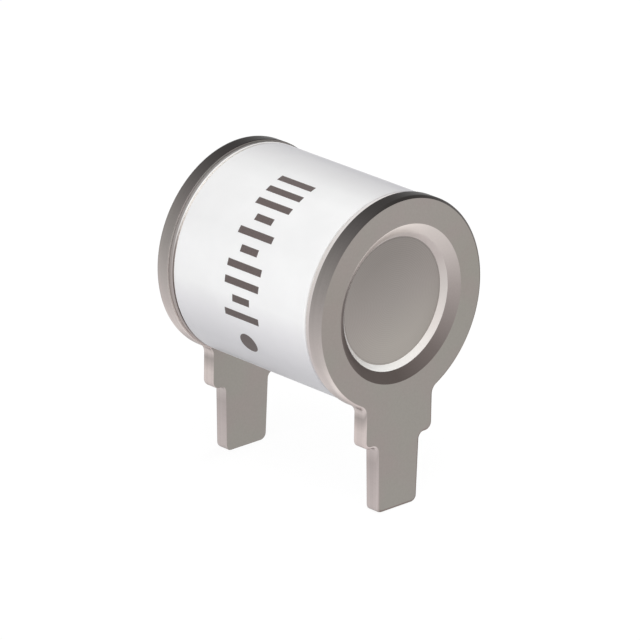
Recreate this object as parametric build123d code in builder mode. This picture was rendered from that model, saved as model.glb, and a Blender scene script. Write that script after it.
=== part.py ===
"""Two-electrode gas discharge tube with stamped solder-tab terminals, in millimetres.

The tube's axis runs along X at the height that the tabs give it. The origin lies under the
middle of the tube, in the plane of the tab tips. The front end is +X, the rear end -X.
"""
from build123d import *
from math import sqrt
import os

# Overall
overall_length = 12.8

# Stamped terminals
plate_diameter = 12.0
plate_thickness = 0.85
plate_edge_chamfer = 0.15
tab_width = 5.05
tab_drop = 7.8
shoulder_radius = 0.35
neck_radius = 0.8
pin_root_width = 3.2
pin_tip_width = 2.95
pin_length = 3.9
pin_root_radius = 0.35
pin_tip_radius = 0.3

# Opening in each terminal: a countersink, a steeper coined cone, then a straight seat
countersink_diameter = 8.84
countersink_depth = 0.42
cone_diameter = 7.66
cone_depth = 0.7
seat_diameter = 7.12

# Turned electrodes, each with a low spigot that centres its terminal
spigot_clearance = 0.06
flange_thickness = 0.3
flange_edge_chamfer = 0.04
boss_clearance = 0.8
boss_taper = 0.35
boss_edge_chamfer = 0.45
waist_width = 0.7
waist_depth = 0.4
spark_gap = 0.9

# Waffle of pits in each electrode's face, filled with activating compound
pit_width = 0.6
pit_depth = 0.2
pit_underfill = 0.04
pit_pitch = 0.9
pits_across = 5

# Brazing washers
braze_thickness = 0.1
braze_inset = 0.1

# Ceramic tube
ceramic_diameter = 11.8
ceramic_wall = 1.5
ceramic_outer_chamfer = 0.1
ceramic_inner_chamfer = 0.2

# Graphite ignition lines on the bore
line_count = 4
line_width = 0.5
line_thickness = 0.05
line_end_margin = 1.6

# Worked out from the sizes above
axis_height = tab_drop + pin_length
half_length = overall_length / 2
plate_radius = plate_diameter / 2
neck_drop = sqrt(plate_radius**2 - (tab_width / 2) ** 2)
spigot_radius = seat_diameter / 2 - spigot_clearance
flange_depth = plate_thickness + flange_thickness
ceramic_depth = flange_depth + braze_thickness
ceramic_length = overall_length - 2 * ceramic_depth
ceramic_radius = ceramic_diameter / 2
bore_radius = ceramic_radius - ceramic_wall
boss_root_radius = bore_radius - boss_clearance
boss_end = -(half_length - spark_gap / 2)
corner_pit_distance = (pits_across - 1) * pit_pitch
line_length = ceramic_length - 2 * line_end_margin

tube_axis = Axis((0, 0, axis_height), (1, 0, 0))
middle_plane = Plane(origin=(0, 0, axis_height), x_dir=(0, 1, 0), z_dir=(1, 0, 0))


def end_face(side):
    """Plane on the outer face of one terminal, its normal pointing away from the tube."""
    return Plane(origin=(side * half_length, 0, axis_height), x_dir=(0, side, 0), z_dir=(side, 0, 0))


def end_section(side):
    """Plane through the tube's axis, X outward from one terminal's outer face and Y upward."""
    return Plane(origin=(side * half_length, 0, axis_height), x_dir=(side, 0, 0), z_dir=(0, -side, 0))


def points_at(height):
    """Corners of the sketch in progress at one height, from left to right."""
    return vertices().filter_by_position(Axis.Y, height - 0.01, height + 0.01).sort_by(Axis.X)


def write(piece, name):
    """Label a finished piece and write it as a STEP file."""
    piece.part.label = name
    export_step(piece.part, f"parts/{name}.step")


os.makedirs("parts", exist_ok=True)

# Ceramic tube
with BuildPart() as ceramic_tube:
    with BuildSketch(middle_plane):
        Circle(ceramic_radius)
        Circle(bore_radius, mode=Mode.SUBTRACT)
    extrude(amount=ceramic_length / 2, both=True)
    end_rims = ceramic_tube.edges().filter_by(GeomType.CIRCLE)
    chamfer(end_rims.filter_by(lambda rim: rim.radius > bore_radius), ceramic_outer_chamfer)
    chamfer(end_rims.filter_by(lambda rim: rim.radius <= bore_radius), ceramic_inner_chamfer)
write(ceramic_tube, "ceramic_tube")

# Graphite lines on the bore, clear of both electrodes
with BuildPart() as ignition_lines:
    with BuildSketch(middle_plane):
        with PolarLocations(bore_radius, line_count):
            Rectangle(4 * line_thickness, line_width)
        Circle(bore_radius, mode=Mode.INTERSECT)
        Circle(bore_radius - line_thickness, mode=Mode.SUBTRACT)
    extrude(amount=line_length / 2, both=True)
write(ignition_lines, "ignition_lines")

for end_name, side in (("front", 1), ("rear", -1)):
    face_plane = end_face(side)
    section_plane = end_section(side)

    # Waffle pattern on the electrode's end: a square grid of pits without its four corners
    with BuildSketch(face_plane.offset(boss_end)) as waffle:
        with GridLocations(pit_pitch, pit_pitch, pits_across, pits_across):
            Rectangle(pit_width, pit_width)
        with GridLocations(corner_pit_distance, corner_pit_distance, 2, 2):
            Rectangle(pit_pitch, pit_pitch, mode=Mode.SUBTRACT)

    # Stamped terminal: ring, neck, shouldered tab and solder pin
    with BuildPart() as terminal:
        with BuildSketch(face_plane.offset(-plate_thickness)):
            Circle(plate_radius)
            with BuildLine():
                Polyline(
                    (-tab_width / 2, 0),
                    (-tab_width / 2, -tab_drop),
                    (-pin_root_width / 2, -tab_drop),
                    (-pin_tip_width / 2, -axis_height),
                    (pin_tip_width / 2, -axis_height),
                    (pin_root_width / 2, -tab_drop),
                    (tab_width / 2, -tab_drop),
                    (tab_width / 2, 0),
                    close=True,
                )
            make_face()
            fillet(points_at(-neck_drop), neck_radius)
            # Four points lie along the shoulders: the tab's corners outside, the pin's roots inside
            fillet(points_at(-tab_drop)[0::3], shoulder_radius)
            fillet(points_at(-tab_drop)[1:3], pin_root_radius)
            fillet(points_at(-axis_height), pin_tip_radius)
        extrude(amount=plate_thickness)
        outer_face = terminal.faces().sort_by(Axis((0, 0, 0), (side, 0, 0)))[-1]
        chamfer(outer_face.edges(), plate_edge_chamfer)
        with BuildSketch(section_plane):
            with BuildLine():
                Polyline(
                    (0, 0),
                    (0, countersink_diameter / 2),
                    (-countersink_depth, cone_diameter / 2),
                    (-cone_depth, seat_diameter / 2),
                    (-plate_thickness, seat_diameter / 2),
                    (-plate_thickness, 0),
                    close=True,
                )
            make_face()
        revolve(axis=tube_axis, mode=Mode.SUBTRACT)
    write(terminal, f"{end_name}_terminal")

    # Turned electrode: spigot, brazing flange, waist and tapered boss with a pitted end
    with BuildPart() as electrode:
        with BuildSketch(section_plane):
            with BuildLine():
                Polyline(
                    (-cone_depth, 0),
                    (-cone_depth, spigot_radius),
                    (-plate_thickness, spigot_radius),
                    (-plate_thickness, ceramic_radius),
                    (-flange_depth, ceramic_radius),
                    (-flange_depth, boss_root_radius - waist_depth),
                    (-flange_depth - waist_width, boss_root_radius - waist_depth),
                    (-flange_depth - waist_width, boss_root_radius),
                    (boss_end, boss_root_radius - boss_taper),
                    (boss_end, 0),
                    close=True,
                )
            make_face()
        revolve(axis=tube_axis)
        flange_rims = electrode.edges().filter_by(GeomType.CIRCLE)
        chamfer(flange_rims.group_by(SortBy.RADIUS)[-1], flange_edge_chamfer)
        boss_rim = electrode.edges().filter_by(GeomType.CIRCLE).sort_by(Axis((0, 0, 0), (side, 0, 0)))[0]
        chamfer(boss_rim, boss_edge_chamfer)
        extrude(waffle.sketch, amount=pit_depth, mode=Mode.SUBTRACT)
    write(electrode, f"{end_name}_electrode")

    # Compound in the pits, a little below the electrode's face
    with BuildPart() as activation:
        extrude(waffle.sketch, amount=pit_depth)
        split(bisect_by=face_plane.offset(boss_end + pit_underfill), keep=Keep.TOP)
    write(activation, f"{end_name}_activation")

    # Brazing washer between flange and ceramic
    with BuildPart() as braze_ring:
        with BuildSketch(face_plane.offset(-ceramic_depth)):
            Circle(ceramic_radius - braze_inset)
            Circle(bore_radius + braze_inset, mode=Mode.SUBTRACT)
        extrude(amount=braze_thickness)
    write(braze_ring, f"{end_name}_braze_ring")
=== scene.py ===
"""Looks of a gas discharge tube with stamped solder-tab terminals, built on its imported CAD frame.

The tube's axis runs along X, the front end is +X, and the pins stand on z = 0. Sizes are in
millimetres unless said otherwise, and become metres where a mesh or a node takes them. Angles are
in degrees, and an angle round the tube runs from +Y towards +Z.
"""
import functools
import logging
import math
from dataclasses import dataclass, replace
from enum import Enum
from typing import NamedTuple, Optional, Sequence, Union

import bmesh
import bpy
from mathutils import Matrix, Vector


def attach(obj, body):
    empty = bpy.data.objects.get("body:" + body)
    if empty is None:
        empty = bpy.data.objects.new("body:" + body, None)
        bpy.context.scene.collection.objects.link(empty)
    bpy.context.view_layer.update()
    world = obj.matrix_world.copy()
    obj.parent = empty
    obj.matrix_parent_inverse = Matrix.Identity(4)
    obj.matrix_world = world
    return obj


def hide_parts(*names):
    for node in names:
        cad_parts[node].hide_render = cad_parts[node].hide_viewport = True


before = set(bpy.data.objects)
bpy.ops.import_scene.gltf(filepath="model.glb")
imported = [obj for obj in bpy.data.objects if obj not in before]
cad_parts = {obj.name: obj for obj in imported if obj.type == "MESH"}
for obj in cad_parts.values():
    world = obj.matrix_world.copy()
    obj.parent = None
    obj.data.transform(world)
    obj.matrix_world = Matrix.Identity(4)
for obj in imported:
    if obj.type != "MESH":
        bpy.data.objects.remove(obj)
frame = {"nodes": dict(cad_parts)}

Rgb = tuple[int, int, int]
LinearRgb = tuple[float, float, float, float]
Span = tuple[float, float]
Socket = bpy.types.NodeSocket
Number = Union[Socket, float]
Paint = Union[Socket, Rgb]
Material = bpy.types.Material
Piece = bpy.types.Object
Mesh = bmesh.types.BMesh
Edges = list[bmesh.types.BMEdge]

LOG = logging.getLogger("discharge_tube")
MM = 0.001
AXIS_HEIGHT = 11.7
CERAMIC_RADIUS = 5.9
MIDDLE = Vector((0.0, 0.0, AXIS_HEIGHT))
ALONG = Vector((1.0, 0.0, 0.0))

# Gaps that vertices merge across, and the tolerance that tells two depths apart
MERGE_GAP = 1e-5
MIRROR_GAP = 1e-4
TOLERANCE = 0.001

# Spans of a noise's values that turn into shares from 0 to 1
CLEAR: Span = (0.38, 0.62)
SOFT: Span = (0.35, 0.65)
FAINT: Span = (0.3, 0.7)
RARE: Span = (0.7, 0.8)

# Sockets of a Mix node that take the two colours and give the mixed one
MIX_COLOURS = (6, 7)
MIX_RESULT = 2

BLACK: Rgb = (0, 0, 0)
WHITE: LinearRgb = (1.0, 1.0, 1.0, 1.0)


# Colours and node trees


def linear(tone: Rgb) -> LinearRgb:
    """Turn an 8-bit sRGB tone into the linear colour that a node takes, by the sRGB curve.

    Args:
        tone: Red, green and blue, 0 to 255.

    Returns:
        Linear red, green, blue and an alpha of 1.
    """
    shares = (channel / 255 for channel in tone)
    red, green, blue = (
        share / 12.92 if share <= 0.04045 else ((share + 0.055) / 1.055) ** 2.4 for share in shares
    )
    return red, green, blue, 1.0


class Spot(NamedTuple):
    """Where a point of the surface lies on the tube, in metres.

    Attributes:
        vector: The point as seen from the tube's middle.
        x: Its distance along the tube.
        y: Its distance from the axis along Y.
        z: Its distance from the axis along Z.
        radius: Its distance from the axis.
    """

    vector: Socket
    x: Socket
    y: Socket
    z: Socket
    radius: Socket


class Graph:
    """Node tree of a material or a world, with short calls for the nodes that the finishes share."""

    def __init__(self, owner: Union[Material, bpy.types.World]) -> None:
        """Start an empty tree.

        Args:
            owner: Material or world that the tree is for.
        """
        owner.use_nodes = True
        self.owner = owner
        self.tree = owner.node_tree
        self.tree.nodes.clear()

    def node(self, kind: str, **settings: object) -> bpy.types.Node:
        """Add a node.

        Args:
            kind: Blender's type name of the node.
            settings: Attributes to set on it.

        Returns:
            The new node.
        """
        made = self.tree.nodes.new(kind)
        for name, value in settings.items():
            setattr(made, name, value)
        return made

    def feed(self, target: Socket, value: Union[Number, LinearRgb]) -> None:
        """Link a socket to an input, or set the input to a constant.

        Args:
            target: The input.
            value: Socket to link, or the constant.
        """
        if isinstance(value, bpy.types.NodeSocket):
            self.tree.links.new(value, target)
        else:
            target.default_value = value

    def math(self, operation: str, first: Number, second: Number = 0.0) -> Socket:
        """Work out one value from two.

        Args:
            operation: Blender's name of the operation.
            first: First value.
            second: Second value, unused by one-value operations.

        Returns:
            The result's socket.
        """
        made = self.node("ShaderNodeMath", operation=operation)
        self.feed(made.inputs[0], first)
        self.feed(made.inputs[1], second)
        return made.outputs[0]

    def stray(self, noise: Socket, mean: float, spread: float) -> Socket:
        """Let a number stray about its mean, over a spread that a noise goes through."""
        return self.math("ADD", self.math("MULTIPLY", noise, spread), mean - spread / 2)

    def locate(self) -> Spot:
        """Find where a point of the surface lies on the tube.

        Returns:
            Its place, on Object coordinates.
        """
        coordinates = self.node("ShaderNodeTexCoord")
        centred = self.node("ShaderNodeMapping")
        centred.inputs["Location"].default_value = (0.0, 0.0, -AXIS_HEIGHT * MM)
        self.feed(centred.inputs["Vector"], coordinates.outputs["Object"])
        split = self.node("ShaderNodeSeparateXYZ")
        self.feed(split.inputs[0], centred.outputs[0])
        x, y, z = split.outputs
        square = self.math("ADD", self.math("MULTIPLY", y, y), self.math("MULTIPLY", z, z))
        return Spot(centred.outputs[0], x, y, z, self.math("SQRT", square))

    def share(self, value: Number, low: float, high: float) -> Socket:
        """Turn a range of values into shares, held at both ends.

        Args:
            value: The value.
            low: What gives a share of 0.
            high: What gives a share of 1.

        Returns:
            The share's socket.
        """
        made = self.node("ShaderNodeMapRange", clamp=True)
        self.feed(made.inputs["Value"], value)
        self.feed(made.inputs["From Min"], low)
        self.feed(made.inputs["From Max"], high)
        return made.outputs[0]

    def ramp(self, value: Number, stops: Sequence[tuple[float, Rgb]]) -> Socket:
        """Colour a value by a ramp of tones.

        Args:
            value: Place on the ramp, 0 to 1.
            stops: Places and their 8-bit sRGB tones, in order.

        Returns:
            The colour's socket.
        """
        made = self.node("ShaderNodeValToRGB")
        elements = made.color_ramp.elements
        while len(elements) < len(stops):
            elements.new(1.0)
        for element, (place, tone) in zip(elements, stops):
            element.position = place
            element.color = linear(tone)
        self.feed(made.inputs[0], value)
        return made.outputs["Color"]

    def noise(self, spot: Spot, size: float, detail: float, stretch: Optional[Vector] = None) -> Socket:
        """Add a noise.

        Args:
            spot: Place that it reads.
            size: Size of its blotches.
            detail: Octaves of finer noise.
            stretch: How much longer a blotch is along each axis.

        Returns:
            The noise's value, about 0.5.
        """
        vector = spot.vector
        if stretch is not None:
            scaled = self.node("ShaderNodeMapping")
            scaled.inputs["Scale"].default_value = (1 / stretch.x, 1 / stretch.y, 1 / stretch.z)
            self.feed(scaled.inputs["Vector"], vector)
            vector = scaled.outputs[0]
        made = self.node("ShaderNodeTexNoise")
        self.feed(made.inputs["Scale"], 1 / (size * MM))
        self.feed(made.inputs["Detail"], detail)
        self.feed(made.inputs["Vector"], vector)
        return made.outputs[0]

    def mix(self, share: Number, first: Paint, second: Paint, way: str = "MIX") -> Socket:
        """Mix two colours.

        Args:
            share: How much of the second colour there is.
            first: First colour, a socket or an 8-bit sRGB tone.
            second: Second colour.
            way: Blender's name of the blend.

        Returns:
            The mixed colour's socket.
        """
        made = self.node("ShaderNodeMix", data_type="RGBA", blend_type=way)
        self.feed(made.inputs[0], share)
        for index, colour in zip(MIX_COLOURS, (first, second)):
            self.feed(made.inputs[index], linear(colour) if isinstance(colour, tuple) else colour)
        return made.outputs[MIX_RESULT]

    def bump(self, height: Socket, depth: float) -> Socket:
        """Turn a height into a bumped normal.

        Args:
            height: Height, 0 to 1.
            depth: What a height of 1 stands for.

        Returns:
            The normal's socket.
        """
        made = self.node("ShaderNodeBump")
        self.feed(made.inputs["Distance"], depth * MM)
        self.feed(made.inputs["Height"], height)
        return made.outputs["Normal"]

    def by_ray(self, light: Socket, seen: Socket) -> Socket:
        """Choose between two shaders by what a ray is for.

        Args:
            light: Shader for the rays that only carry light.
            seen: Shader for the rays that show the background, straight or in a mirror.

        Returns:
            The chosen shader's socket.
        """
        rays = self.node("ShaderNodeLightPath").outputs
        mirrored = self.math("MAXIMUM", rays["Is Glossy Ray"], rays["Is Transmission Ray"])
        chosen = self.node("ShaderNodeMixShader")
        self.feed(chosen.inputs[0], self.math("MAXIMUM", rays["Is Camera Ray"], mirrored))
        self.feed(chosen.inputs[1], light)
        self.feed(chosen.inputs[2], seen)
        return chosen.outputs[0]

    def close(self, shader: Socket) -> None:
        """Link the last shader to the tree's output."""
        kind = "World" if isinstance(self.owner, bpy.types.World) else "Material"
        self.feed(self.node(f"ShaderNodeOutput{kind}").inputs["Surface"], shader)

    def surface(self, colour: Socket, normal: Socket, **inputs: Union[Number, LinearRgb]) -> Material:
        """Finish the material with a Principled shader.

        Args:
            colour: Base colour.
            normal: Bumped normal.
            inputs: Other inputs by name, with underscores for spaces.

        Returns:
            The finished material.
        """
        shader = self.node("ShaderNodeBsdfPrincipled")
        self.feed(shader.inputs["Base Color"], colour)
        self.feed(shader.inputs["Normal"], normal)
        for name, value in inputs.items():
            self.feed(shader.inputs[name.replace("_", " ")], value)
        self.close(shader.outputs[0])
        return self.owner


# Finishes


@dataclass(frozen=True)
class Tones:
    """How a tone runs across the tube, along one direction; where it changes, it is painted light and
    shade.

    Attributes:
        toward: Angle round the tube of the last stop.
        stops: How far a point lies towards it, -1 to 1, and the 8-bit sRGB tone there.
    """

    toward: float
    stops: tuple[tuple[float, Rgb], ...]

    def colour(self, graph: Graph, spot: Spot) -> Socket:
        """Colour a point of the surface.

        Args:
            graph: Node tree that it is for.
            spot: Place of the point.

        Returns:
            The colour's socket.
        """
        angle = math.radians(self.toward)
        across = graph.math("MULTIPLY", spot.y, math.cos(angle))
        upward = graph.math("MULTIPLY", spot.z, math.sin(angle))
        facing = graph.math("DIVIDE", graph.math("ADD", across, upward), spot.radius)
        stops = [((place + 1) / 2, tone) for place, tone in self.stops]
        return graph.ramp(graph.share(facing, -1.0, 1.0), stops)


@dataclass(frozen=True)
class RoundTones:
    """How a tone runs round the tube, by the angle; where it changes, it is painted light and shade.

    Attributes:
        stops: Angles round the tube, -180 to 180, and the 8-bit sRGB tones there.
    """

    stops: tuple[tuple[float, Rgb], ...]

    def colour(self, graph: Graph, spot: Spot) -> Socket:
        """Colour a point of the surface, by a node tree and the point's place on the tube."""
        turn = graph.share(graph.math("ARCTAN2", spot.z, spot.y), -math.pi, math.pi)
        return graph.ramp(turn, [((angle + 180) / 360, tone) for angle, tone in self.stops])


@dataclass(frozen=True)
class PlatedMetal:
    """Tin-plated sheet, its tone running round the tube as painted light and shade.

    Attributes:
        name: Name of the material.
        tones: Tones round the tube, painted light and shade over the plating's own tone.
        roughness: Mean roughness.
        uneven: How far the roughness strays with the grain.
        grain: Size of the grain.
        stretch: How much longer the grain is along X than across.
        depth: Depth of the grain.
        fleck: How much darker the grain's low spots are.
        mottle: How strongly the tint wanders.
        mottle_size: Size of the blotches that it wanders through.
        mottle_tints: The greenish and the pinkish tint.
        metallic: Metallic share of the shader.
        grazing: Share of the mirror's brightness that is left at a grazing look.
        lines: How strongly fine lines run along the edge.
        line_width: Width of such a line.
        line_stretch: How many times longer than wide a line is.
        away: Painted shade that multiplies the side towards +Y, if there is one.
        away_border: Where that side fades in along Y.
        away_heights: Heights over the axis between which it fades in downwards.
        rim: Painted light and shade of the narrow ring that stands proud of the flange, if it has its own.
        rim_radius: Radius past which that ring begins.
        rim_bottom: Height from the axis below which the tab has left the ring.
        rim_metallic: Metallic share of that ring.
    """

    name: str
    tones: Union[Tones, RoundTones]
    roughness: float = 0.34
    uneven: float = 0.12
    grain: float = 0.12
    stretch: float = 1.0
    depth: float = 0.0015
    fleck: float = 0.06
    mottle: float = 0.25
    mottle_size: float = 2.6
    mottle_tints: tuple[Rgb, Rgb] = ((250, 255, 250), (255, 250, 250))
    metallic: float = 1.0
    grazing: float = 0.62
    lines: float = 0.0
    line_width: float = 0.16
    line_stretch: float = 80.0
    away: Optional[Rgb] = None
    away_border: Span = (-1.45, -1.25)
    away_heights: Span = (5.0, 1.0)
    rim: Optional[RoundTones] = None
    rim_radius: float = 5.86
    rim_bottom: float = -5.3
    rim_metallic: float = 0.0

    @functools.cache
    def material(self) -> Material:
        """Build the material, once for each finish.

        Returns:
            The material.
        """
        graph = Graph(bpy.data.materials.new(self.name))
        spot = graph.locate()
        # Painted light and shade round the tube
        tone = self.tones.colour(graph, spot)
        # Painted shade on the side towards +Y, low down
        if self.away is not None:
            beyond = graph.share(spot.y, *(place * MM for place in self.away_border))
            below = graph.share(spot.z, *(height * MM for height in self.away_heights))
            tone = graph.mix(graph.math("MULTIPLY", beyond, below), tone, self.away, "MULTIPLY")
        if self.lines > 0:
            run = Vector((1.0, self.line_stretch, self.line_stretch))
            drawn = graph.share(graph.noise(spot, self.line_width, detail=2.0, stretch=run), *SOFT)
            tone = graph.mix(drawn, graph.mix(self.lines, tone, BLACK), tone)
        metallic: Number = self.metallic
        # The ring past the flange gets painted light and shade of its own
        if self.rim is not None:
            outside = graph.math("GREATER_THAN", spot.radius, self.rim_radius * MM)
            above = graph.math("GREATER_THAN", spot.z, self.rim_bottom * MM)
            ring = graph.math("MULTIPLY", outside, above)
            tone = graph.mix(ring, tone, self.rim.colour(graph, spot))
            loss = graph.math("MULTIPLY", ring, self.metallic - self.rim_metallic)
            metallic = graph.math("SUBTRACT", self.metallic, loss)
        wander = graph.share(graph.noise(spot, self.mottle_size, detail=1.0), *CLEAR)
        tone = graph.mix(self.mottle, tone, graph.mix(wander, *self.mottle_tints), "MULTIPLY")
        fine = graph.noise(spot, self.grain, detail=4.0, stretch=Vector((self.stretch, 1.0, 1.0)))
        tone = graph.mix(graph.share(fine, *FAINT), graph.mix(self.fleck, tone, BLACK), tone)
        return graph.surface(
            tone,
            graph.bump(fine, self.depth),
            Metallic=metallic,
            Roughness=graph.stray(fine, self.roughness, self.uneven),
            Specular_Tint=(self.grazing, self.grazing, self.grazing, 1.0),
        )


@dataclass(frozen=True)
class TurnedMetal:
    """Nickel-plated turned electrode: a lathe-turned face, and another tone on its flange's edge; both hold
    painted light and shade.

    Attributes:
        name: Name of the material.
        face: Tones of the turned face, painted shade that is darker towards the top.
        edge: Tones of the flange's edge, painted light and shade.
        edge_radius: Radius past which the edge begins.
        seam: Tones of the chamfer beside the braze, painted light and shade, if it has its own.
        seam_x: Distance from the tube's middle within which that chamfer lies.
        centre: Tone of the face's middle.
        centre_radius: Radius where that tone has faded out.
        pitch: Distance between two turning rings.
        wobble: How far a ring strays, as a share of the pitch.
        wobble_size: Length over which it strays.
        grain: Size of the grain over the rings.
        grain_height: Height of the grain, where a ring's is 1.
        glint: Tone of the rings' crests.
        glint_share: How much of it they have.
        roughness: Mean roughness.
        uneven: How far the roughness strays with the grain.
        depth: Depth of the rings.
    """

    name: str
    face: Tones
    edge: Union[Tones, RoundTones]
    edge_radius: float = 5.8
    seam: Optional[RoundTones] = None
    seam_x: float = 5.3
    centre: Rgb = (148, 142, 138)
    centre_radius: float = 2.6
    pitch: float = 0.11
    wobble: float = 0.25
    wobble_size: float = 0.9
    grain: float = 0.15
    grain_height: float = 0.6
    glint: Rgb = (255, 252, 248)
    glint_share: float = 0.03
    roughness: float = 0.33
    uneven: float = 0.1
    depth: float = 0.0008

    @functools.cache
    def material(self) -> Material:
        """Build the material, once for each finish.

        Returns:
            The material.
        """
        graph = Graph(bpy.data.materials.new(self.name))
        spot = graph.locate()
        # Painted light and shade on the face, the flange's edge and the seam
        fading = graph.share(spot.radius, 0.0, self.centre_radius * MM)
        tone = graph.mix(fading, self.centre, self.face.colour(graph, spot))
        outer = graph.math("GREATER_THAN", spot.radius, self.edge_radius * MM)
        tone = graph.mix(outer, tone, self.edge.colour(graph, spot))
        if self.seam is not None:
            inner = graph.math("LESS_THAN", graph.math("ABSOLUTE", spot.x), self.seam_x * MM)
            tone = graph.mix(graph.math("MULTIPLY", outer, inner), tone, self.seam.colour(graph, spot))
        reach = self.wobble * self.pitch * MM
        stray = graph.math("MULTIPLY", graph.noise(spot, self.wobble_size, detail=2.0), reach)
        turns = graph.math("MULTIPLY", graph.math("ADD", spot.radius, stray), math.tau / (self.pitch * MM))
        rings = graph.share(graph.math("SINE", turns), -1.0, 1.0)
        fine = graph.noise(spot, self.grain, detail=3.0)
        height = graph.math("ADD", rings, graph.math("MULTIPLY", fine, self.grain_height))
        tone = graph.mix(graph.math("MULTIPLY", height, self.glint_share), tone, self.glint)
        rough = graph.stray(fine, self.roughness, self.uneven)
        return graph.surface(tone, graph.bump(height, self.depth), Metallic=1.0, Roughness=rough)


# Painted shade round the ceramic: darker bands near the top and low on the -Y side
CERAMIC_SHADING = RoundTones((
    (-180, (250, 250, 250)), (-168, (241, 240, 242)), (-148, (223, 222, 225)), (-130, (218, 217, 220)),
    (-80, (253, 253, 253)), (0, (253, 253, 253)), (45, (238, 238, 239)), (72, (184, 183, 187)),
    (82, (205, 204, 206)), (92, (220, 219, 220)), (104, (237, 237, 237)), (116, (244, 244, 244)),
    (146, (237, 237, 237)), (180, (250, 250, 250)),
))


@dataclass(frozen=True)
class GlazedCeramic:
    """White alumina with a thin glaze, a faint cloudiness and painted shade round the tube.

    Attributes:
        name: Name of the material.
        body: Main tone.
        cloud: Tone of its faint clouds.
        cloud_size: Size of the clouds.
        shade: Painted shade round the tube, which multiplies both.
        speck: Tone of its few specks.
        speck_size: Size of the specks.
        speck_share: How much of their tone they have.
        grain: Size of the glaze's unevenness.
        depth: Depth of that unevenness.
        roughness: Mean roughness.
        uneven: How far the roughness strays with the grain.
        gloss: Level of its mirror, where 0.5 is the shader's own.
    """

    name: str = "white_alumina"
    body: Rgb = (252, 252, 252)
    cloud: Rgb = (249, 249, 249)
    cloud_size: float = 2.2
    shade: RoundTones = CERAMIC_SHADING
    speck: Rgb = (226, 222, 220)
    speck_size: float = 0.11
    speck_share: float = 0.25
    grain: float = 0.3
    depth: float = 0.002
    roughness: float = 0.43
    uneven: float = 0.14
    gloss: float = 0.35

    @functools.cache
    def material(self) -> Material:
        """Build the material, once for each finish.

        Returns:
            The material.
        """
        graph = Graph(bpy.data.materials.new(self.name))
        spot = graph.locate()
        clouds = graph.share(graph.noise(spot, self.cloud_size, detail=3.0), *SOFT)
        tone = graph.mix(clouds, self.body, self.cloud)
        # Painted shade round the tube
        tone = graph.mix(1.0, tone, self.shade.colour(graph, spot), "MULTIPLY")
        specks = graph.share(graph.noise(spot, self.speck_size, detail=2.0), *RARE)
        tone = graph.mix(graph.math("MULTIPLY", specks, self.speck_share), tone, self.speck)
        fine = graph.noise(spot, self.grain, detail=4.0)
        rough = graph.stray(fine, self.roughness, self.uneven)
        return graph.surface(
            tone, graph.bump(fine, self.depth), Roughness=rough, Specular_IOR_Level=self.gloss
        )


@dataclass(frozen=True)
class GrainyCoat:
    """A dull coat with a grain: ink, braze, compound or graphite.

    Attributes:
        name: Name of the material.
        light: Tone of the grain's high spots.
        dark: Tone of its low spots.
        roughness: Mean roughness.
        grain: Size of the grain.
        metallic: Metallic share of the shader.
        shade: Painted light and shade round the tube, which multiplies both, if there is one.
        uneven: How far the roughness strays with the grain.
        depth: Depth of the grain.
    """

    name: str
    light: Rgb
    dark: Rgb
    roughness: float
    grain: float
    metallic: float = 0.0
    shade: Optional[RoundTones] = None
    uneven: float = 0.2
    depth: float = 0.002

    @functools.cache
    def material(self) -> Material:
        """Build the material, once for each finish.

        Returns:
            The material.
        """
        graph = Graph(bpy.data.materials.new(self.name))
        spot = graph.locate()
        fine = graph.noise(spot, self.grain, detail=4.0)
        tone = graph.mix(graph.share(fine, *SOFT), self.dark, self.light)
        # Painted light and shade round the tube
        if self.shade is not None:
            tone = graph.mix(1.0, tone, self.shade.colour(graph, spot), "MULTIPLY")
        rough = graph.stray(fine, self.roughness, self.uneven)
        return graph.surface(tone, graph.bump(fine, self.depth), Metallic=self.metallic, Roughness=rough)


FACE_TONES = Tones(90.0, ((-1.0, (156, 150, 146)), (0.3, (156, 150, 145)), (1.0, (160, 152, 149))))
# Painted light and shade of the ring that stands proud of the flange: pale below, darker at the top
STEP_SHADING = RoundTones((
    (-180, (222, 212, 209)), (-160, (240, 229, 225)), (-110, (248, 237, 233)), (90, (150, 146, 143)),
    (125, (178, 173, 170)), (150, (206, 199, 196)), (180, (222, 212, 209)),
))
# Painted reflections and shade of the sheared edges: dark on top, pale below; the close stops past 0.9
# paint shade along the tab's edges
EDGE_SHADING = Tones(-90.0, (
    (-1.0, (58, 55, 54)), (-0.94, (72, 69, 68)), (-0.82, (94, 90, 89)), (-0.5, (137, 132, 129)),
    (0.0, (175, 168, 165)), (0.34, (199, 190, 187)), (0.62, (232, 222, 218)), (0.77, (210, 198, 195)),
    (0.87, (210, 198, 195)), (0.912, (212, 202, 199)), (0.918, (186, 177, 174)),
    (0.9225, (168, 160, 157)), (0.926, (174, 166, 163)), (0.931, (195, 184, 181)),
    (0.938, (213, 201, 198)), (0.96, (213, 200, 198)), (0.97, (218, 208, 206)),
    (0.979, (214, 204, 202)), (0.984, (178, 169, 167)), (0.995, (204, 193, 191)),
))
# Painted reflections and shade round the countersink: dark below, pale towards the top
COUNTERSINK_SHADING = RoundTones((
    (-180, (158, 148, 145)), (-165, (126, 116, 113)), (-150, (110, 101, 98)), (-130, (97, 89, 86)),
    (-90, (94, 86, 83)), (-50, (119, 110, 107)), (0, (164, 155, 152)), (30, (194, 185, 182)),
    (60, (214, 205, 201)), (90, (246, 236, 231)), (135, (240, 229, 225)), (152, (196, 186, 183)),
    (165, (156, 147, 144)), (180, (158, 148, 145)),
))
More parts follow.
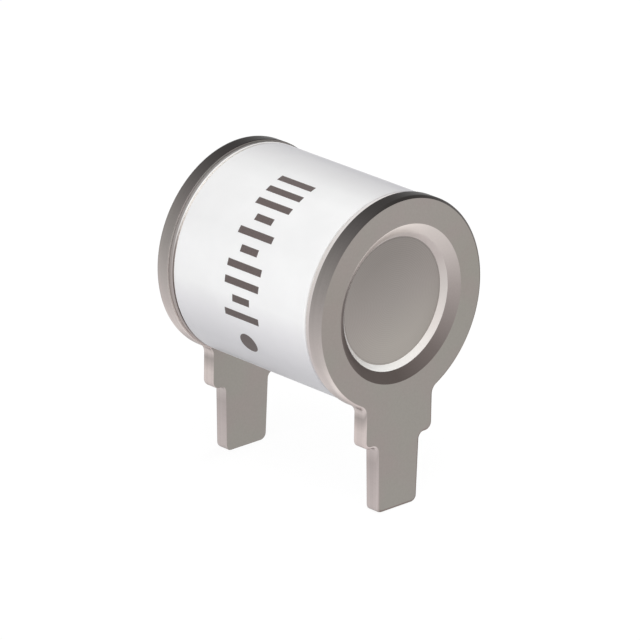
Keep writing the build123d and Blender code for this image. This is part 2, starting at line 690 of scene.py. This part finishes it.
# Painted highlight round the cone: near white, a little darker from 0 to 70 degrees
CONE_SHADING = RoundTones((
    (-180, (252, 251, 249)), (-110, (255, 254, 252)), (-70, (247, 244, 240)), (-30, (226, 219, 215)),
    (0, (210, 204, 200)), (30, (200, 190, 187)), (50, (212, 202, 199)), (70, (232, 222, 218)),
    (110, (252, 243, 239)), (180, (252, 251, 249)),
))
# Painted shade of the turned faces: darker towards the top, lighter below
TURNED_SHADING = Tones(-75.0, ((-1.0, (134, 128, 124)), (0.0, (150, 143, 139)), (1.0, (164, 158, 152))))
# Painted light and shade of the front flange's edge: pale at the top, darker below
FLANGE_SHADING = Tones(-90.0, (
    (-1.0, (229, 224, 222)), (-0.86, (226, 222, 220)), (-0.5, (214, 208, 205)), (0.0, (202, 194, 192)),
    (0.5, (193, 184, 183)), (1.0, (188, 179, 179)),
))
# Painted shade of the rear flange's edge in mid tones, darker at the top
REAR_FLANGE_SHADING = RoundTones((
    (-180, (158, 150, 147)), (-150, (171, 162, 159)), (-110, (176, 166, 164)), (90, (150, 147, 145)),
    (125, (160, 156, 154)), (180, (158, 150, 147)),
))
# Painted light and shade of the rear seam: a pale line high on the -Y side, darker low down
SEAM_SHADING = RoundTones((
    (-180, (170, 162, 160)), (-150, (152, 143, 141)), (-130, (146, 137, 135)), (90, (232, 230, 229)),
    (110, (252, 251, 250)), (145, (252, 251, 250)), (168, (182, 175, 173)), (180, (170, 162, 160)),
))

FACE = PlatedMetal("plated_face", FACE_TONES, mottle=0.6)
# The back face, its ring past the flange in painted light and shade
BACK = replace(FACE, name="plated_back", rim=STEP_SHADING)
EDGE = PlatedMetal("sheared_edge", EDGE_SHADING, grain=0.06, stretch=6.0, mottle=0.2, lines=0.08)
# Rolled edges, with painted shade on the side towards +Y
ROLL = replace(EDGE, name="rolled_edge", away=(176, 170, 166))
COUNTERSINK = PlatedMetal("countersink", COUNTERSINK_SHADING, grain=0.08, mottle=0.1)
# Coined cone, its white a painted highlight
CONE = PlatedMetal(
    "cone_with_painted_highlight",
    CONE_SHADING,
    roughness=0.42,
    uneven=0.04,
    grain=0.08,
    stretch=4.0,
    depth=0.0002,
    fleck=0.02,
    mottle=0.1,
    metallic=0.6,
    grazing=1.0,
)
ELECTRODE = TurnedMetal("front_turned_electrode", TURNED_SHADING, FLANGE_SHADING)
REAR_ELECTRODE = TurnedMetal("rear_turned_electrode", TURNED_SHADING, REAR_FLANGE_SHADING, seam=SEAM_SHADING)
CERAMIC = GlazedCeramic()
INK = GrainyCoat("marking_ink", (96, 86, 84), (86, 76, 74), 0.55, 0.08)
BRAZE = GrainyCoat("silver_braze", (246, 243, 238), (226, 221, 214), 0.35, 0.06, metallic=1.0)
# The rear braze takes the seam's painted light and shade
REAR_BRAZE = replace(BRAZE, name="rear_silver_braze", metallic=0.2, shade=SEAM_SHADING)
COMPOUND = GrainyCoat("activating_compound", (196, 190, 178), (168, 160, 148), 0.85, 0.05)
GRAPHITE = GrainyCoat("graphite_line", (58, 58, 60), (36, 36, 38), 0.5, 0.04)

Finish = Union[PlatedMetal, TurnedMetal, GlazedCeramic, GrainyCoat]


# Mesh helpers


class Pen:
    """Draws one open line of vertices and edges, by moves of its last vertex."""

    def __init__(self, mesh: Mesh, start: Vector) -> None:
        """Set the pen down at the first point of a line, in a mesh."""
        self.mesh = mesh
        self.tip = mesh.verts.new(start)

    def line_to(self, point: Vector) -> None:
        """Draw a straight run.

        Args:
            point: End of the run.
        """
        grown = bmesh.ops.extrude_vert_indiv(self.mesh, verts=[self.tip])
        self.tip = grown["verts"][0]
        bmesh.ops.translate(self.mesh, verts=[self.tip], vec=point - self.tip.co)

    def arc(self, centre: Vector, angle: float, step: float, axis: Vector = ALONG) -> None:
        """Draw an arc from the last point.

        Args:
            centre: Centre of the arc.
            angle: Its angle, whose sign is the sense of turning about the axis.
            step: Greatest angle of one edge.
            axis: Axis to turn about.
        """
        steps = max(1, math.ceil(abs(angle) / step))
        swept = bmesh.ops.spin(
            self.mesh, geom=[self.tip], cent=centre, axis=axis, angle=math.radians(angle), steps=steps
        )
        self.tip = of_kind(swept["geom_last"], bmesh.types.BMVert)[0]

    def corner(self, point: Vector, after: Vector, radius: float, step: float) -> None:
        """Draw to a rounded corner and round it.

        Args:
            point: The sharp corner.
            after: A point on the run after it.
            radius: Radius of the rounding.
            step: Greatest angle of one edge.
        """
        arriving = (point - self.tip.co).normalized()
        leaving = (after - point).normalized()
        turn = arriving.angle(leaving)
        axis = arriving.cross(leaving).normalized()
        self.line_to(point - arriving * radius * math.tan(turn / 2))
        self.arc(self.tip.co + axis.cross(arriving) * radius, math.degrees(turn), step, axis)


def of_kind(items: Sequence[object], kind: type) -> list:
    """Vertices, edges or faces alone, out of what an operator gives back."""
    return [item for item in items if isinstance(item, kind)]


def turn_round(mesh: Mesh, profile: Sequence[object], steps: int) -> None:
    """Turn a profile of vertices and edges once round the tube's axis, in so many steps."""
    bmesh.ops.spin(mesh, geom=profile, cent=MIDDLE, axis=ALONG, angle=math.tau, steps=steps, use_merge=True)


def round_over(mesh: Mesh, loop: Edges, radius: float, steps: int, facing: int) -> Edges:
    """Round the rim of a flat end, by insets that follow a quarter circle.

    Args:
        mesh: Mesh of the terminal.
        loop: Edges round the flat end.
        radius: Radius of the rounding.
        steps: Count of insets.
        facing: Sign of the X that the flat end faces.

    Returns:
        The edges round the flat end that is left.
    """
    cap = bmesh.ops.contextual_create(mesh, geom=loop)["faces"][0]
    cap.normal_update()
    if cap.normal.x * facing < 0:
        cap.normal_flip()
    for step in range(steps):
        low, high = (math.pi / 2 * count / steps for count in (step, step + 1))
        ring = bmesh.ops.inset_individual(
            mesh,
            faces=[cap],
            thickness=radius * (math.cos(low) - math.cos(high)),
            depth=radius * (math.sin(high) - math.sin(low)),
            use_even_offset=True,
        )
        for face in ring["faces"]:
            face.material_index = Zone.ROLL.value
    left = cap.edges[:]
    bmesh.ops.delete(mesh, geom=[cap], context="FACES_ONLY")
    return left


def add_object(name: str, data: bpy.types.ID) -> Piece:
    """Put an object at the origin of the scene.

    Args:
        name: Name of the object.
        data: Its mesh, lamp or camera.

    Returns:
        The new object.
    """
    made = bpy.data.objects.new(name, data)
    bpy.context.scene.collection.objects.link(made)
    return made


def finish_mesh(mesh: Mesh, name: str, finishes: Sequence[Finish], crease: float = 24.0) -> Piece:
    """Close a mesh and make it an object at the origin, in metres.

    Args:
        mesh: The mesh in millimetres, which is freed.
        name: Name of the piece.
        finishes: Finishes by zone.
        crease: Angle past which an edge is shaded sharp.

    Returns:
        The new object.
    """
    bmesh.ops.remove_doubles(mesh, verts=mesh.verts, dist=MERGE_GAP)
    bmesh.ops.recalc_face_normals(mesh, faces=mesh.faces)
    bmesh.ops.scale(mesh, vec=Vector((MM, MM, MM)), verts=mesh.verts)
    for face in mesh.faces:
        face.smooth = True
    for edge in mesh.edges:
        zones = {face.material_index for face in edge.link_faces}
        edge.smooth = len(zones) < 2 and edge.calc_face_angle(0.0) < math.radians(crease)
    data = bpy.data.meshes.new(name)
    mesh.to_mesh(data)
    mesh.free()
    for finish in finishes:
        data.materials.append(finish.material())
    return add_object(name, data)


# Assemblies


class End(Enum):
    """The tube's two ends, by the sign of their X."""

    FRONT = 1
    REAR = -1


class Zone(Enum):
    """Zones of a stamped terminal, in the order of its finishes."""

    FACE = 0
    EDGE = 1
    ROLL = 2
    COUNTERSINK = 3
    CONE = 4
    LIP = 5
    BACK = 6


@dataclass
class StampedTerminal:
    """Ring with a shouldered solder tab, stamped from sheet and countersunk round its opening.

    The outer face and the ring lie a hair inside the CAD model's. Depths are measured from the
    outer face, and halves are half a width. From its mouth the opening narrows through a
    countersink and a steeper coined cone to a flat lip, and runs straight on to the back as the
    seat. rim_break is how far the small flats on its rims reach from the sharp corner. A step is
    the greatest angle of one edge, and steps are a count.
    """

    end: End
    outer_x: float = 6.3999
    thickness: float = 0.85
    ring_radius: float = 5.995
    tab_half: float = 2.525
    tab_drop: float = 7.8
    pin_root_half: float = 1.6
    pin_tip_half: float = 1.475
    neck_radius: float = 0.55
    shoulder_radius: float = 0.45
    root_radius: float = 0.35
    tip_radius: float = 0.38
    roll: float = 0.15
    burr_break: float = 0.03
    sink_radius: float = 4.42
    sink_depth: float = 0.42
    cone_radius: float = 3.83
    cone_depth: float = 0.7
    lip_radius: float = 3.565
    seat_radius: float = 3.505
    rim_break: float = 0.025
    corner_step: float = 12.0
    neck_step: float = 6.0
    ring_step: float = 2.0
    roll_steps: int = 3
    burr_steps: int = 1
    turn_steps: int = 160
    finishes: tuple[Finish, ...] = (FACE, EDGE, ROLL, COUNTERSINK, CONE, ELECTRODE, BACK)

    def at(self, depth: float, y: float, z: float) -> Vector:
        """Point at a depth behind the outer face, and at y and z from the axis."""
        return Vector((self.end.value * (self.outer_x - depth), y, AXIS_HEIGHT + z))

    def draw_outline(self, mesh: Mesh, depth: float) -> Edges:
        """Draw half the outline from the pin's tip to the ring's top and mirror it.

        Args:
            mesh: Mesh to draw in.
            depth: Depth of the outline behind the outer face.

        Returns:
            The edges of the closed outline.
        """
        foot = -AXIS_HEIGHT
        pen = Pen(mesh, self.at(depth, 0.0, foot))
        corners = [
            (self.at(depth, self.pin_tip_half, foot), self.tip_radius),
            (self.at(depth, self.pin_root_half, -self.tab_drop), self.root_radius),
            (self.at(depth, self.tab_half, -self.tab_drop), self.shoulder_radius),
        ]
        beyond = [point for point, _ in corners[1:]] + [self.at(depth, self.tab_half, 0.0)]
        for (point, radius), after in zip(corners, beyond):
            pen.corner(point, after, radius, self.corner_step)
        reach = self.ring_radius + self.neck_radius
        neck_y = self.tab_half + self.neck_radius
        neck_z = -math.sqrt(reach**2 - neck_y**2)
        slope = math.degrees(math.atan2(-neck_z, neck_y))
        pen.line_to(self.at(depth, self.tab_half, neck_z))
        pen.arc(self.at(depth, neck_y, neck_z), -slope, self.neck_step)
        pen.arc(self.at(depth, 0.0, 0.0), 90.0 + slope, self.ring_step)
        drawn = mesh.verts[:] + mesh.edges[:]
        bmesh.ops.mirror(mesh, geom=drawn, matrix=Matrix.Identity(4), merge_dist=MIRROR_GAP, axis="Y")
        bmesh.ops.remove_doubles(mesh, verts=mesh.verts, dist=MIRROR_GAP)
        return mesh.edges[:]

    def sink_opening(self, mesh: Mesh) -> tuple[Edges, Edges]:
        """Turn the countersunk opening.

        Args:
            mesh: Mesh of the terminal.

        Returns:
            The edges of its rim on the outer face and of its rim on the back.
        """
        sink = Vector((self.sink_depth, self.cone_radius - self.sink_radius)).normalized() * self.rim_break
        cone = Vector((self.cone_depth - self.sink_depth, self.lip_radius - self.cone_radius)).normalized()
        cone *= self.rim_break
        sheet = set(mesh.verts[:] + mesh.edges[:] + mesh.faces[:])
        pen = Pen(mesh, self.at(0.0, 0.0, self.sink_radius + self.rim_break))
        for depth, radius in (
            (sink.x, self.sink_radius + sink.y),
            (self.sink_depth - sink.x, self.cone_radius - sink.y),
            (self.sink_depth + cone.x, self.cone_radius + cone.y),
            (self.cone_depth, self.lip_radius),
            (self.cone_depth, self.seat_radius),
            (self.thickness, self.seat_radius),
        ):
            pen.line_to(self.at(depth, 0.0, radius))
        profile = [item for item in mesh.verts[:] + mesh.edges[:] if item not in sheet]
        turn_round(mesh, profile, self.turn_steps)
        front, back = [], []
        for face in [face for face in mesh.faces if face not in sheet]:
            depth = self.outer_x - abs(face.calc_center_median().x)
            zone = Zone.COUNTERSINK if depth < self.sink_depth else Zone.CONE
            face.material_index = (zone if depth < self.cone_depth - TOLERANCE else Zone.LIP).value
            open_edges = [edge for edge in face.edges if len(edge.link_faces) == 1]
            (front if depth < self.sink_depth else back).extend(open_edges)
        return front, back

    def build(self) -> Mesh:
        """Model the terminal.

        Returns:
            Its mesh, with a material index for each zone.
        """
        mesh = bmesh.new()
        outline = self.draw_outline(mesh, self.thickness - self.burr_break)
        sides = bmesh.ops.extrude_edge_only(mesh, edges=outline)["geom"]
        risen = set(of_kind(sides, bmesh.types.BMVert))
        rise = self.end.value * (self.thickness - self.burr_break - self.roll)
        bmesh.ops.translate(mesh, verts=list(risen), vec=ALONG * rise)
        for face in mesh.faces:
            face.material_index = Zone.EDGE.value
        top = [edge for edge in mesh.edges if risen.issuperset(edge.verts)]
        front = round_over(mesh, top, self.roll, self.roll_steps, self.end.value)
        back = round_over(mesh, outline, self.burr_break, self.burr_steps, -self.end.value)
        front_rim, back_rim = self.sink_opening(mesh)
        for edges, zone in ((front + front_rim, Zone.FACE), (back + back_rim, Zone.BACK)):
            filled = bmesh.ops.triangle_fill(mesh, edges=edges, use_beauty=True)["geom"]
            for face in of_kind(filled, bmesh.types.BMFace):
                face.material_index = zone.value
        return mesh

    def dress(self) -> list[Piece]:
        """Make the piece, which stands for its CAD node.

        Returns:
            The piece, in a list.
        """
        node = f"{self.end.name.lower()}_terminal"
        piece = finish_mesh(self.build(), f"{node}_stamping", self.finishes)
        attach(piece, "root")
        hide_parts(node)
        return [piece]


@dataclass
class CeramicTube:
    """Ceramic body between the electrodes, its ends softly rounded.

    round_step is the greatest angle of one edge in the rims, turn_steps the steps of a full turn.
    """

    radius: float = CERAMIC_RADIUS
    bore_radius: float = 4.4
    half_length: float = 5.15
    outer_round: float = 0.1
    inner_round: float = 0.2
    round_step: float = 22.5
    turn_steps: int = 240
    finish: GlazedCeramic = CERAMIC

    def build(self) -> Mesh:
        """Turn the tube from its closed profile.

        Returns:
            Its mesh.
        """
        mesh = bmesh.new()
        pen = Pen(mesh, Vector((0.0, 0.0, AXIS_HEIGHT + self.radius)))
        ends = [
            (self.half_length, self.radius, self.outer_round),
            (self.half_length, self.bore_radius, self.inner_round),
            (-self.half_length, self.bore_radius, self.inner_round),
            (-self.half_length, self.radius, self.outer_round),
        ]
        points = [Vector((x, 0.0, AXIS_HEIGHT + radius)) for x, radius, _ in ends]
        points.append(pen.tip.co.copy())
        for index, (_, _, rounding) in enumerate(ends):
            pen.corner(points[index], points[index + 1], rounding, self.round_step)
        pen.line_to(points[-1])
        bmesh.ops.remove_doubles(mesh, verts=mesh.verts, dist=MERGE_GAP)
        turn_round(mesh, mesh.verts[:] + mesh.edges[:], self.turn_steps)
        return mesh

    def dress(self) -> list[Piece]:
        """Make the piece, which stands for its CAD node.

        Returns:
            The piece, in a list.
        """
        piece = finish_mesh(self.build(), "ceramic_body", [self.finish])
        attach(piece, "root")
        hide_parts("ceramic_tube")
        return [piece]


@dataclass
class Marking:
    """Plain coding bars and a dot, printed round the ceramic where such a tube carries its marking.

    The shapes are drawn on a flat sheet, X along the tube and Y round it, and rolled onto the tube.
    The ink stands ink_height proud of the ceramic, and its foot lies sink deep in it. A bar is
    bar_length long along the tube and stroke wide, and a dash is half as long. Each has bar_cells
    cells both ways, so that it bends with the tube.
    """

    radius: float = CERAMIC_RADIUS
    ink_height: float = 0.012
    sink: float = 0.01
    middle_x: float = 0.2
    bar_length: float = 2.6
    stroke: float = 0.4
    dot_radius: float = 0.62
    bar_angles: tuple[float, ...] = (109.0, 118.0, 127.0, 145.0, 163.0, 172.0, 190.0)
    dash_angles: tuple[float, ...] = (136.0, 154.0, 181.0)
    dot_angle: float = 207.0
    dot_sides: int = 36
    bar_cells: int = 4
    crease: float = 40.0
    finish: GrainyCoat = INK

    def place(self, angle: float) -> Matrix:
        """Place on the sheet of what lies at one angle round the tube."""
        return Matrix.Translation(Vector((self.middle_x, math.radians(angle) * self.radius, 0.0)))

    def print_bar(self, mesh: Mesh, angle: float, length: float) -> None:
        """Lay one bar or dash on the sheet.

        Args:
            mesh: Mesh of the sheet.
            angle: Where it lies round the tube.
            length: Its length along the tube.
        """
        size = Matrix.Diagonal(Vector((length / 2, self.stroke / 2, 1.0, 1.0)))
        matrix = self.place(angle) @ size
        cells = self.bar_cells
        bmesh.ops.create_grid(mesh, x_segments=cells, y_segments=cells, size=1.0, matrix=matrix)

    def build(self) -> Mesh:
        """Draw the sheet, raise the ink and roll it onto the tube.

        Returns:
            Its mesh.
        """
        mesh = bmesh.new()
        for angle in self.bar_angles:
            self.print_bar(mesh, angle, self.bar_length)
        for angle in self.dash_angles:
            self.print_bar(mesh, angle, self.bar_length / 2)
        bmesh.ops.create_circle(
            mesh,
            cap_ends=True,
            cap_tris=True,
            segments=self.dot_sides,
            radius=self.dot_radius,
            matrix=self.place(self.dot_angle),
        )
        raised = bmesh.ops.extrude_face_region(mesh, geom=mesh.faces[:])["geom"]
        rise = Vector((0.0, 0.0, self.ink_height + self.sink))
        bmesh.ops.translate(mesh, verts=of_kind(raised, bmesh.types.BMVert), vec=rise)
        for vertex in mesh.verts:
            x, along, height = vertex.co
            angle = along / self.radius
            reach = self.radius - self.sink + height
            vertex.co = Vector((x, reach * math.cos(angle), AXIS_HEIGHT + reach * math.sin(angle)))
        return mesh

    def dress(self) -> list[Piece]:
        """Make the piece, which rides on the tube.

        Returns:
            The piece, in a list.
        """
        piece = finish_mesh(self.build(), "coding_bars", [self.finish], self.crease)
        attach(piece, "root")
        return [piece]


@dataclass
class KeptNodes:
    """CAD nodes that stay, each with a finish of its own.

    Attributes:
        nodes: The frame's nodes by name.
        finishes: Names of the nodes that stay, and their finishes.
    """

    nodes: dict[str, Piece]
    finishes: tuple[tuple[str, Finish], ...] = (
        ("front_electrode", ELECTRODE),
        ("rear_electrode", REAR_ELECTRODE),
        ("front_braze_ring", BRAZE),
        ("rear_braze_ring", REAR_BRAZE),
        ("front_activation", COMPOUND),
        ("rear_activation", COMPOUND),
        ("ignition_lines", GRAPHITE),
    )

    def dress(self) -> list[Piece]:
        """Give each node its material.

        Returns:
            The nodes.
        """
        for name, finish in self.finishes:
            slots = self.nodes[name].data.materials
            slots.clear()
            slots.append(finish.material())
        return [self.nodes[name] for name, _ in self.finishes]


# Studio


@dataclass(frozen=True)
class Lamp:
    """A round area lamp that looks at the tube.

    Attributes:
        name: Name of the lamp.
        direction: Direction from the tube to the lamp.
        brightness: Radiance of its face, where 1 is white.
        distance: Distance in metres.
        size: Diameter in metres.
    """

    name: str
    direction: tuple[float, float, float]
    brightness: float
    distance: float = 0.9
    size: float = 0.7

    def hang(self) -> None:
        """Make the lamp and aim it."""
        data = bpy.data.lights.new(self.name, "AREA")
        data.shape = "DISK"
        data.size = self.size
        area = math.pi * (self.size / 2) ** 2
        data.energy = self.brightness * math.pi * area
        lamp = add_object(self.name, data)
        away = Vector(self.direction).normalized()
        lamp.location = MIDDLE * MM + away * self.distance
        lamp.rotation_mode = "QUATERNION"
        lamp.rotation_quaternion = (-away).to_track_quat("-Z", "Y")
        lamp.visible_glossy = False


@dataclass
class Studio:
    """White sweep, soft lamps, and the camera of the photograph.

    Attributes:
        floor_radius: Radius of the floor in metres.
        floor_sides: Sides of its outline.
        floor_drop: How far it lies below the pins.
        floor_tone: Linear colour of the floor, to rays that only carry light.
        floor_pale: Linear colour that takes the shadow, to rays that show the floor.
        floor_glow: Strength of the white under that shadow.
        ambient: Strength of the world's white as light.
        lamps: The lamps round the tube.
        azimuth: Direction of the camera from the tube, from -Y towards +X.
        elevation: How far it stands above the level.
        roll: How far it is turned about its line of sight.
        aim: Point that it looks at.
        distance: Distance from that point.
        lens: Focal length.
        sensor: Width of its sensor.
        clip: Nearest and farthest distance that it sees, in metres.
    """

    floor_radius: float = 1.2
    floor_sides: int = 96
    floor_drop: float = 0.02
    floor_tone: LinearRgb = (0.55, 0.55, 0.56, 1.0)
    floor_pale: LinearRgb = (0.1, 0.1, 0.1, 1.0)
    floor_glow: float = 0.925
    ambient: float = 0.25
    lamps: tuple[Lamp, ...] = (
        Lamp("upper_lamp", (0.30, -0.29, 0.92), 3.45),
        Lamp("side_lamp", (0.30, -0.94, 0.22), 4.05),
        Lamp("fill_lamp", (-0.15, 0.90, 0.42), 3.8),
    )
    azimuth: float = 46.30
    elevation: float = 20.88
    roll: float = 0.92
    aim: tuple[float, float, float] = (0.165, 0.0, 9.010)
    distance: float = 349.0
    lens: float = 363.7
    sensor: float = 36.0
    clip: Span = (0.01, 10.0)

    def paint_floor(self) -> Material:
        """Mix the floor's paint, white to the camera, which keeps part of the tube's shadow.

        Returns:
            The paint.
        """
        graph = Graph(bpy.data.materials.new("floor_paint"))
        soft = graph.node("ShaderNodeBsdfDiffuse")
        graph.feed(soft.inputs["Color"], self.floor_tone)
        pale = graph.node("ShaderNodeBsdfDiffuse")
        graph.feed(pale.inputs["Color"], self.floor_pale)
        glow = graph.node("ShaderNodeEmission")
        graph.feed(glow.inputs["Strength"], self.floor_glow)
        shown = graph.node("ShaderNodeAddShader")
        graph.feed(shown.inputs[0], glow.outputs[0])
        graph.feed(shown.inputs[1], pale.outputs[0])
        graph.close(graph.by_ray(soft.outputs[0], shown.outputs[0]))
        return graph.owner

    def lay_floor(self) -> None:
        """Lay the round floor just below the pins."""
        mesh = bmesh.new()
        bmesh.ops.create_circle(mesh, cap_ends=True, segments=self.floor_sides, radius=self.floor_radius)
        bmesh.ops.translate(mesh, verts=mesh.verts, vec=Vector((0.0, 0.0, -self.floor_drop * MM)))
        data = bpy.data.meshes.new("studio_floor")
        mesh.to_mesh(data)
        mesh.free()
        data.materials.append(self.paint_floor())
        floor = add_object("studio_floor", data)

    def light_world(self) -> None:
        """Make a world that is white to look at and softer as light."""
        graph = Graph(bpy.data.worlds.new("studio_world"))
        bpy.context.scene.world = graph.owner
        shaders = []
        for strength in (self.ambient, 1.0):
            background = graph.node("ShaderNodeBackground")
            graph.feed(background.inputs["Color"], WHITE)
            graph.feed(background.inputs["Strength"], strength)
            shaders.append(background.outputs[0])
        graph.close(graph.by_ray(*shaders))

    def set_camera(self) -> None:
        """Stand the camera where the photograph was seen from."""
        azimuth, elevation, roll = map(math.radians, (self.azimuth, self.elevation, self.roll))
        back = Vector(
            (
                math.sin(azimuth) * math.cos(elevation),
                -math.cos(azimuth) * math.cos(elevation),
                math.sin(elevation),
            )
        )
        level = (-back).cross(Vector((0.0, 0.0, 1.0))).normalized()
        upward = level.cross(-back)
        right = math.cos(roll) * level + math.sin(roll) * upward
        top = math.cos(roll) * upward - math.sin(roll) * level
        data = bpy.data.cameras.new("camera")
        data.sensor_width = self.sensor
        data.lens = self.lens
        data.clip_start, data.clip_end = self.clip
        camera = add_object("camera", data)
        camera.rotation_mode = "QUATERNION"
        camera.rotation_quaternion = Matrix((right, top, back)).transposed().to_quaternion()
        camera.location = Vector(self.aim) * MM + back * self.distance * MM
        bpy.context.scene.camera = camera

    def set_up(self) -> None:
        """Set the whole studio up."""
        bpy.context.scene.view_settings.view_transform = "Standard"
        self.lay_floor()
        self.light_world()
        for lamp in self.lamps:
            lamp.hang()
        self.set_camera()


def main() -> None:
    """Build every assembly in order, report its pieces and set the studio up."""
    logging.basicConfig(level=logging.INFO, format="%(name)s: %(message)s")
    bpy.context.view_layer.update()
    terminals = [StampedTerminal(end) for end in End]
    for assembly in (*terminals, CeramicTube(), Marking(), KeptNodes(frame["nodes"])):
        for piece in assembly.dress():
            faces, materials = piece.data.polygons, piece.data.materials
            LOG.info("%s: %d faces, %d materials", piece.name, len(faces), len(materials))
    Studio().set_up()


if __name__ == "__main__":
    main()
